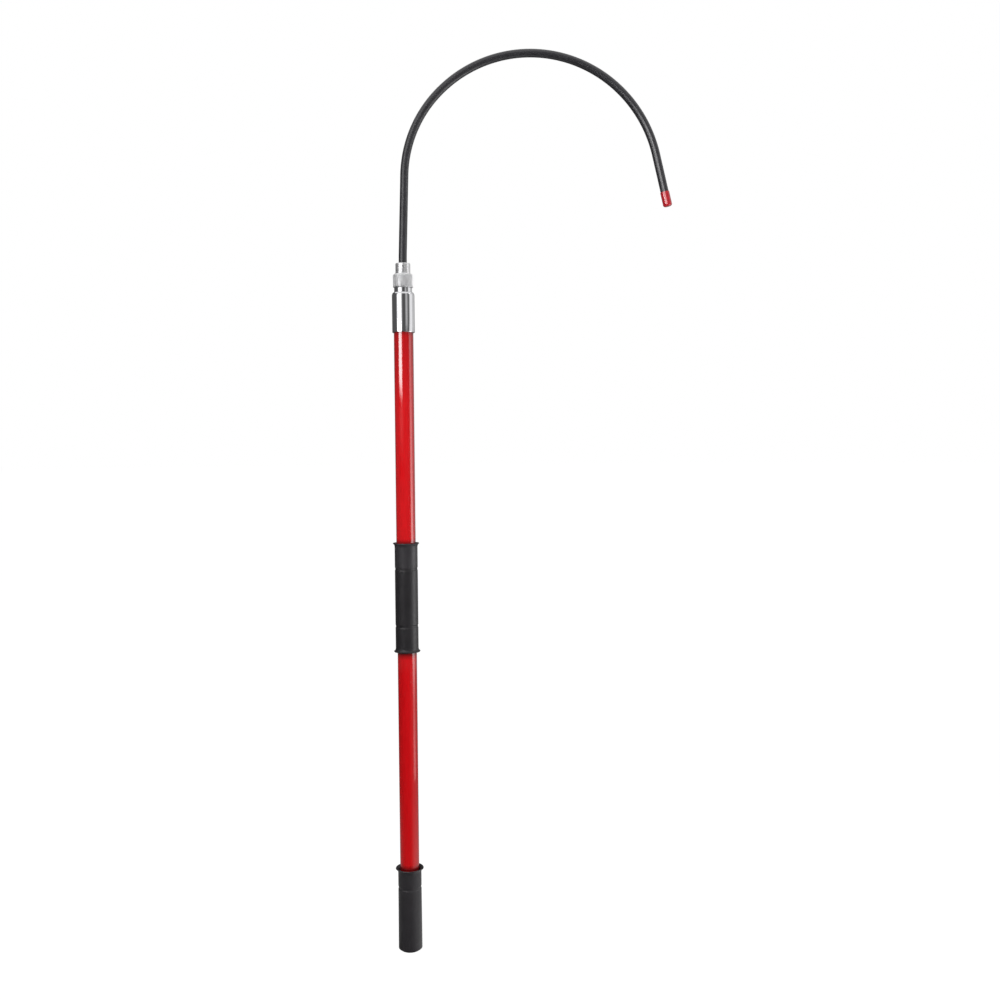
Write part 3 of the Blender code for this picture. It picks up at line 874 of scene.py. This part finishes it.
def build_nut(knurled, smooth):
    """The union nut, with a diamond knurl round its ring and a smooth hub."""
    bottom, top = heights("union_nut")
    crest = reach("union_nut")
    ring_top = top - HUB_HEIGHT
    shoulder = ring_top - NUT_ROOF
    low = bottom + NUT_BOTTOM_CHAMFER
    high = ring_top - NUT_TOP_CHAMFER_HEIGHT
    steps = KNURL_GROOVES * KNURL_POINTS
    row = math.tau * crest / steps
    rows = round((high - low) / row)
    row = (high - low) / rows

    def knurl(angle, radius, height):
        """How far the ring's surface is pressed in at a point by the two crossed sets of grooves."""
        if radius < crest - TOUCHING:
            return 0.0
        around = angle * KNURL_GROOVES / math.tau
        upward = KNURL_SLOPE * (height - low) * KNURL_GROOVES / (math.tau * crest)
        pressed = 0.0
        for across in (around + upward, around - upward):
            valley = abs(2.0 * (across - math.floor(across)) - 1.0)
            pressed = max(pressed, valley)
        return -KNURL_DEPTH * pressed

    def band(radius, height):
        """Knurled ring or smooth metal."""
        return 0 if radius > crest - KNURL_BAND_DEPTH and low < height < high else 1

    corners = [
        (HUB_BORE, top, SMALL_EDGE),
        (HUB_RADIUS, top, HUB_ROUND),
        (HUB_RADIUS, ring_top, SMALL_EDGE),
        (crest - NUT_TOP_CHAMFER, ring_top, SMALL_EDGE),
    ]
    corners += [(crest, high - row * step, 0.0) for step in range(rows + 1)]
    corners += [
        (crest - NUT_BOTTOM_CHAMFER, bottom, SMALL_EDGE),
        (NUT_BORE, bottom, SMALL_EDGE),
        (NUT_BORE, shoulder, SMALL_EDGE),
        (HUB_BORE, shoulder, SMALL_EDGE),
    ]
    nut = spun("knurled_nut", rounded(corners), [knurled, smooth], steps=steps, offset=knurl, band=band)
    return stands_for(nut, "union_nut")


def build_bush(nylon):
    """The flanged nylon bush between nut and shank."""
    bottom, top = heights("guide_bush")
    corners = [
        (BUSH_SLEEVE, top, GAP),
        (BUSH_SLEEVE, bottom + BUSH_FLANGE, GAP),
        (reach("guide_bush"), bottom + BUSH_FLANGE, GAP),
        (reach("guide_bush"), bottom, GAP),
        (BUSH_BORE, bottom, GAP),
        (BUSH_BORE, top, GAP),
    ]
    return stands_for(spun("flanged_bush", rounded(corners), [nylon]), "guide_bush")


def run_straight(line, length):
    """Carry the hook's centre line straight on."""
    base, heading = line[-1]
    ahead = Vector((math.sin(heading), 0.0, math.cos(heading)))
    steps = math.ceil(length / STRAIGHT_STEP)
    for step in range(1, steps + 1):
        line.append((base + ahead * length * step / steps, heading))


def run_bend(line, radius, turn):
    """Carry the hook's centre line round a bend."""
    base, heading = line[-1]
    steps = math.ceil(turn / BEND_STEP)
    for step in range(1, steps + 1):
        angle = heading + turn * step / steps
        across = radius * (math.cos(heading) - math.cos(angle))
        along = radius * (math.sin(angle) - math.sin(heading))
        line.append((base + Vector((across, 0.0, along)), angle))


def hook_line(start):
    """The hook's centre line from height start, as (point, heading) entries."""
    line = [(Vector((0.0, 0.0, start)), 0.0)]
    run_straight(line, heights("union_nut")[1] + SHANK_ABOVE_NUT - start)
    run_bend(line, SET_RADIUS, SET_TURN)
    run_straight(line, SHANK_STRAIGHT)
    run_bend(line, FIRST_BEND_RADIUS, FIRST_BEND_TURN)
    run_bend(line, SECOND_BEND_RADIUS, SECOND_BEND_TURN)
    run_straight(line, TIP_STRAIGHT)
    return line


def build_sheath(finish):
    """The plastic covering of the hook."""
    line = hook_line(heights("hook_foot")[1] + GAP)
    covering = swept("hook_covering", line, SHEATH_RADIUS, SHEATH_RADIUS - SHEATH_WALL, finish)
    return stands_for(covering, "hook_sheath")


def build_cap(finish):
    """The red cap over the hook's tip."""
    point, heading = hook_line(heights("hook_foot")[1])[-1]
    end = GAP + CAP_FLOOR
    mouth = end - CAP_LENGTH
    corners = [
        (0.0, end, 0.0),
        (CAP_RADIUS, end, CAP_ROUND),
        (CAP_RADIUS, mouth, CAP_EDGE),
        (CAP_BORE, mouth, CAP_EDGE),
        (CAP_BORE, GAP, GAP),
        (0.0, GAP, 0.0),
    ]
    cap = spun("dipped_cap", rounded(corners, closed=False), [finish])
    cap.data.transform(Matrix.Translation(point) @ Matrix.Rotation(heading, 4, "Y"))
    return stands_for(cap, "tip_cap")


def finish_hidden_nodes(materials):
    """The inner nodes that keep their frame shape get their finish."""
    for node, finish in materials.items():
        mesh = frame["nodes"][node].data
        mesh.materials.clear()
        mesh.materials.append(finish)


def grey(level):
    """A grey as an opaque colour."""
    return (level, level, level, 1.0)


def backdrop_switch(tree):
    """1 where the camera, a reflection or a refraction sees the surface, else 0."""
    path = tree.nodes.new("ShaderNodeLightPath")
    seen = path.outputs["Is Camera Ray"]
    for ray in ("Is Glossy Ray", "Is Transmission Ray"):
        seen = joined(tree, "MAXIMUM", seen, path.outputs[ray])
    return seen


def build_world():
    """A surround that the camera and reflections see white, and that lights the object less."""
    world = bpy.data.worlds.new("studio")
    bpy.context.scene.world = world
    world.use_nodes = True
    tree = world.node_tree
    tree.nodes.clear()
    light = tree.nodes.new("ShaderNodeBackground")
    light.inputs["Strength"].default_value = WORLD_LEVEL
    white = tree.nodes.new("ShaderNodeBackground")
    mix = tree.nodes.new("ShaderNodeMixShader")
    output = tree.nodes.new("ShaderNodeOutputWorld")
    for background in (light, white):
        background.inputs["Color"].default_value = grey(1.0)
    tree.links.new(backdrop_switch(tree), mix.inputs["Fac"])
    tree.links.new(light.outputs["Background"], mix.inputs[1])
    tree.links.new(white.outputs["Background"], mix.inputs[2])
    tree.links.new(mix.outputs["Shader"], output.inputs["Surface"])


def build_floor():
    """A plain pale floor that keeps a faint shadow."""
    shape = bmesh.new()
    bmesh.ops.create_circle(shape, cap_ends=True, segments=TURN_STEPS, radius=FLOOR_RADIUS)
    mesh = bpy.data.meshes.new("floor")
    shape.to_mesh(mesh)
    shape.free()
    floor = bpy.data.objects.new("floor", mesh)
    floor.location.z = -FLOOR_DROP
    bpy.context.scene.collection.objects.link(floor)
    material = bpy.data.materials.new("floor_paper")
    material.use_nodes = True
    tree = material.node_tree
    tree.nodes.clear()
    plain = tree.nodes.new("ShaderNodeBsdfDiffuse")
    plain.inputs["Color"].default_value = grey(FLOOR_GREY)
    shade = tree.nodes.new("ShaderNodeBsdfDiffuse")
    shade.inputs["Color"].default_value = grey(FLOOR_SHADE)
    glow = tree.nodes.new("ShaderNodeEmission")
    glow.inputs["Strength"].default_value = FLOOR_GLOW
    seen = tree.nodes.new("ShaderNodeAddShader")
    mix = tree.nodes.new("ShaderNodeMixShader")
    output = tree.nodes.new("ShaderNodeOutputMaterial")
    tree.links.new(shade.outputs["BSDF"], seen.inputs[0])
    tree.links.new(glow.outputs["Emission"], seen.inputs[1])
    tree.links.new(backdrop_switch(tree), mix.inputs["Fac"])
    tree.links.new(plain.outputs["BSDF"], mix.inputs[1])
    tree.links.new(seen.outputs["Shader"], mix.inputs[2])
    tree.links.new(mix.outputs["Shader"], output.inputs["Surface"])
    mesh.materials.append(material)


def eased(share):
    """A smooth step from 0 to 1."""
    share = max(0.0, min(1.0, share))
    return share * share * (3.0 - 2.0 * share)


def between(values, share):
    """The value at a share of the way along evenly spaced values."""
    place = share * (len(values) - 1)
    index = min(int(place), len(values) - 2)
    return values[index] + (values[index + 1] - values[index]) * (place - index)


def hang_card(name, shape, rows):
    """A card of light from its rows of points, hidden from the camera."""
    for low, high in zip(rows, rows[1:]):
        for step in range(len(low) - 1):
            shape.faces.new((low[step], low[step + 1], high[step + 1], high[step]))
    mesh = bpy.data.meshes.new(name)
    shape.to_mesh(mesh)
    shape.free()
    material = bpy.data.materials.new(name)
    material.use_nodes = True
    tree = material.node_tree
    tree.nodes.clear()
    strength = tree.nodes.new("ShaderNodeAttribute")
    strength.attribute_name = "glow"
    glow = tree.nodes.new("ShaderNodeEmission")
    output = tree.nodes.new("ShaderNodeOutputMaterial")
    tree.links.new(strength.outputs["Fac"], glow.inputs["Strength"])
    tree.links.new(glow.outputs["Emission"], output.inputs["Surface"])
    mesh.materials.append(material)
    card = bpy.data.objects.new(name, mesh)
    bpy.context.scene.collection.objects.link(card)
    card.visible_camera = False
    card.visible_diffuse = False
    card.visible_transmission = False
    card.visible_shadow = False


def build_card(
    name,
    span,
    reaches,
    level,
    edges=(0.0, 0.0),
    soft=(0.0, 0.0),
    fade=0.0,
    slant=0.0,
    swell=(1.0, 1.0),
):
    """A studio card round the pole, seen only in reflections.

    It spans two angles, in degrees from the camera's side towards +X, and reaches from one (distance,
    height) to another. At its two sides it eases over the degrees in soft to the levels in edges. From
    its near edge it comes up over the share fade of its reach, later at its start by the share slant.
    Swell multiplies it at even steps from its near edge to its far one.
    """
    start, end = span
    near, far = reaches
    shape = bmesh.new()
    glow_layer = shape.verts.layers.float.new("glow")
    rows = []
    for rank in range(CARD_ROWS + 1):
        up = rank / CARD_ROWS
        distance = near[0] + (far[0] - near[0]) * up
        height = near[1] + (far[1] - near[1]) * up
        row = []
        for step in range(CARD_STEPS + 1):
            along = step / CARD_STEPS
            degrees = start + (end - start) * along
            angle = math.radians(degrees)
            point = shape.verts.new((distance * math.sin(angle), -distance * math.cos(angle), height))
            glow = level
            for edge, width, inside in zip(edges, soft, (degrees - start, end - degrees)):
                if width > 0.0:
                    glow = edge + (glow - edge) * eased(inside / width)
            if fade > 0.0:
                glow *= eased((up - slant * (1.0 - along)) / fade)
            point[glow_layer] = glow * between(swell, up)
            row.append(point)
        rows.append(row)
    hang_card(name, shape, rows)


def build_side_cards():
    """The cards that stand round the pole, from its left past the camera to its right and back."""
    ground = (CARD_DISTANCE, CARD_LIFT)
    tail = (CARD_DISTANCE, TAIL_HEIGHT)
    strip = (CARD_DISTANCE, STRIP_HEIGHT)
    tier = (CARD_DISTANCE, TIER_HEIGHT)
    top = (CARD_DISTANCE, CARD_TOP)
    build_card("flag_left", (-BACK, LEFT_FLAG_END), (ground, top), FLAG_LEVEL)
    build_card("flag_gap_left", (LEFT_FLAG_END, SOFTBOX_START), (tier, top), FLAG_LEVEL)
    build_card("flag_strip_left", (LEFT_FLAG_END, STRIP_START), (ground, tier), FLAG_LEVEL)
    build_card("flag_low_left", (STRIP_START, TAIL_END), (ground, tail), BLACK_LEVEL)
    build_card(
        "strip_tail",
        (STRIP_START, TAIL_END),
        (tail, strip),
        TAIL_LEVEL,
        edges=(FLAG_LEVEL, FLAG_LEVEL),
        soft=(14.0, 14.0),
        fade=1.0,
    )
    build_card(
        "strip_left",
        (STRIP_START, STRIP_END),
        (strip, tier),
        STRIP_LEVEL,
        edges=(FLAG_LEVEL, FLAG_LEVEL),
        soft=(14.0, 14.0),
        fade=0.36,
        slant=0.15,
    )
    build_card(
        "softbox_left",
        (SOFTBOX_START, SOFTBOX_END),
        (tier, top),
        SOFTBOX_LEVEL,
        edges=(FLAG_LEVEL, 0.09),
        soft=(34.0, 32.0),
    )
    build_card("flag_front_low", (TAIL_END, FRONT_FLAG_END), (ground, strip), BLACK_LEVEL)
    build_card("flag_front_strip", (STRIP_END, FRONT_FLAG_END), (strip, tier), FLAG_LEVEL)
    build_card("flag_front", (SOFTBOX_END, FRONT_CARD_START), (tier, top), FLAG_LEVEL)
    build_card(
        "card_front_right",
        (FRONT_CARD_START, FRONT_CARD_END),
        (tier, top),
        FRONT_CARD_LEVEL,
        edges=(FLAG_LEVEL, RIGHT_FLAG_LEVEL),
        soft=(14.0, 12.0),
    )
    build_card(
        "flag_right",
        (FRONT_CARD_END, RIGHT_FLAG_END),
        (tier, top),
        RIGHT_FLAG_LEVEL,
        edges=(RIGHT_FLAG_LEVEL, 1.0),
        soft=(0.0, 20.0),
    )
    build_card(
        "strip_right",
        (NEAR_CARD_START, NEAR_CARD_END),
        ((NEAR_CARD_DISTANCE, CARD_LIFT), (NEAR_CARD_DISTANCE, NEAR_CARD_TOP)),
        NEAR_CARD_LEVEL,
        edges=(FLAG_LEVEL, 0.5),
        soft=(16.0, 16.0),
        swell=(0.9, 0.9, 0.75, 0.6, 1.5, 2.3, 2.4, 2.4, 2.3, 2.0, 1.75, 1.5, 1.4, 1.2, 1.05, 1.0, 1.0),
    )
    build_card(
        "flag_back_right",
        (LOW_BACK_START, BACK),
        (ground, tier),
        LOW_BACK_LEVEL,
        edges=(1.0, BLACK_LEVEL),
        soft=(16.0, 60.0),
    )
    build_card(
        "flag_high_right",
        (HIGH_BACK_START, BACK),
        (tier, top),
        HIGH_BACK_LEVEL,
        edges=(1.0, FLAG_LEVEL),
        soft=(16.0, 50.0),
    )


def build_floor_cards():
    """The cards that lie round the pole, for the reflections on its lower half."""
    reaches = ((TOUCHING, CARD_LIFT), (CARD_DISTANCE, CARD_LIFT))
    build_card(
        "floor_flag_left",
        (-BACK, FLOOR_SPLIT),
        reaches,
        FLOOR_LEFT_LEVEL,
        edges=(0.55, FLOOR_LEFT_LEVEL),
        soft=(140.0, 0.0),
        swell=(1.0, 1.0, 0.6, 0.15, 0.1, 0.1, 0.1, 0.1, 0.1),
    )
    build_card(
        "floor_flag_right",
        (FLOOR_SPLIT, BACK),
        reaches,
        FLOOR_RIGHT_LEVEL,
        edges=(FLOOR_LEFT_LEVEL, 0.2),
        soft=(60.0, 60.0),
        swell=(2.0, 1.7, 1.1, 0.7, 0.7, 0.7, 0.7, 0.7, 0.7),
    )


def build_tip_card():
    """A narrow card close before the end of the hook, for the streak on its cap."""
    shape = bmesh.new()
    glow_layer = shape.verts.layers.float.new("glow")
    line = [point for point, heading in hook_line(heights("hook_foot")[1])][-TIP_CARD_POINTS:]
    line.append(2.0 * line[-1] - line[-2])
    rows = []
    for rank, place in enumerate(line):
        row = []
        for step in range(CARD_ROWS + 1):
            across = step / CARD_ROWS
            beside = TIP_CARD_LEFT + (TIP_CARD_RIGHT - TIP_CARD_LEFT) * across
            point = shape.verts.new(place + Vector((beside, -TIP_CARD_AHEAD, TIP_CARD_LIFT)))
            hump = 4.0 * across * (1.0 - across)
            share = eased(hump) * eased(rank / len(line) / TIP_CARD_FADE)
            point[glow_layer] = TIP_CARD_LEVEL * share
            row.append(point)
        rows.append(row)
    hang_card("card_tip", shape, rows)


def build_lamp(name, place, aim, size, power):
    """A soft square lamp, left out of reflections."""
    lamp = bpy.data.lights.new(name, "AREA")
    lamp.size = size
    lamp.energy = power
    holder = bpy.data.objects.new(name, lamp)
    holder.location = place
    holder.rotation_euler = (Vector(aim) - Vector(place)).to_track_quat("-Z", "Y").to_euler()
    holder.visible_glossy = False
    holder.visible_camera = False
    bpy.context.scene.collection.objects.link(holder)


def build_studio():
    """World, floor, lamps and the cards that the gloss and chrome reflect."""
    build_world()
    build_floor()
    build_lamp("key", KEY_PLACE, KEY_AIM, KEY_SIZE, KEY_POWER)
    build_lamp("fill", FILL_PLACE, FILL_AIM, FILL_SIZE, FILL_POWER)
    build_lamp("spot", SPOT_PLACE, SPOT_AIM, SPOT_SIZE, SPOT_POWER)
    build_side_cards()
    build_floor_cards()
    build_tip_card()


def build_camera():
    """The photograph's camera."""
    data = bpy.data.cameras.new("camera")
    data.lens = CAMERA_LENS
    data.sensor_width = CAMERA_SENSOR
    camera = bpy.data.objects.new("camera", data)
    turn = Matrix.Rotation(-CAMERA_YAW, 4, "Z") @ Matrix.Rotation(math.pi / 2.0 - CAMERA_PITCH, 4, "X")
    camera.matrix_world = Matrix.Translation(CAMERA_PLACE) @ turn @ Matrix.Rotation(CAMERA_ROLL, 4, "Z")
    bpy.context.scene.collection.objects.link(camera)
    bpy.context.scene.camera = camera


def main():
    """Dress the frame and set the studio."""
    rubber = rubber_material("grip_rubber_finish", RUBBER_GREYS)
    pale_rubber = rubber_material("grip_pale_rubber_finish", PALE_RUBBER_GREYS)
    chrome = chrome_material()
    steel = bright_steel_material()
    build_camera()
    build_studio()
    build_tube(red_tube_material())
    build_lower_grip(pale_rubber)
    build_middle_grip(rubber, pale_rubber)
    build_insert(chrome)
    build_ferrule(chrome)
    build_foot(steel)
    build_pin("rod_cross_pin", "rod_pin", steel, across=True)
    build_pin("key_pin", "locating_pin", steel)
    build_nut(knurl_material(), hub_material())
    build_bush(nylon_material())
    build_sheath(sheath_material())
    build_cap(cap_material())
    finish_hidden_nodes({
        "foam_core": foam_material(),
        "tube_end_plug": plug_material(),
        "insert_pin": steel,
        "hook_rod": steel,
    })
    bpy.context.scene.view_settings.view_transform = "Standard"


main()
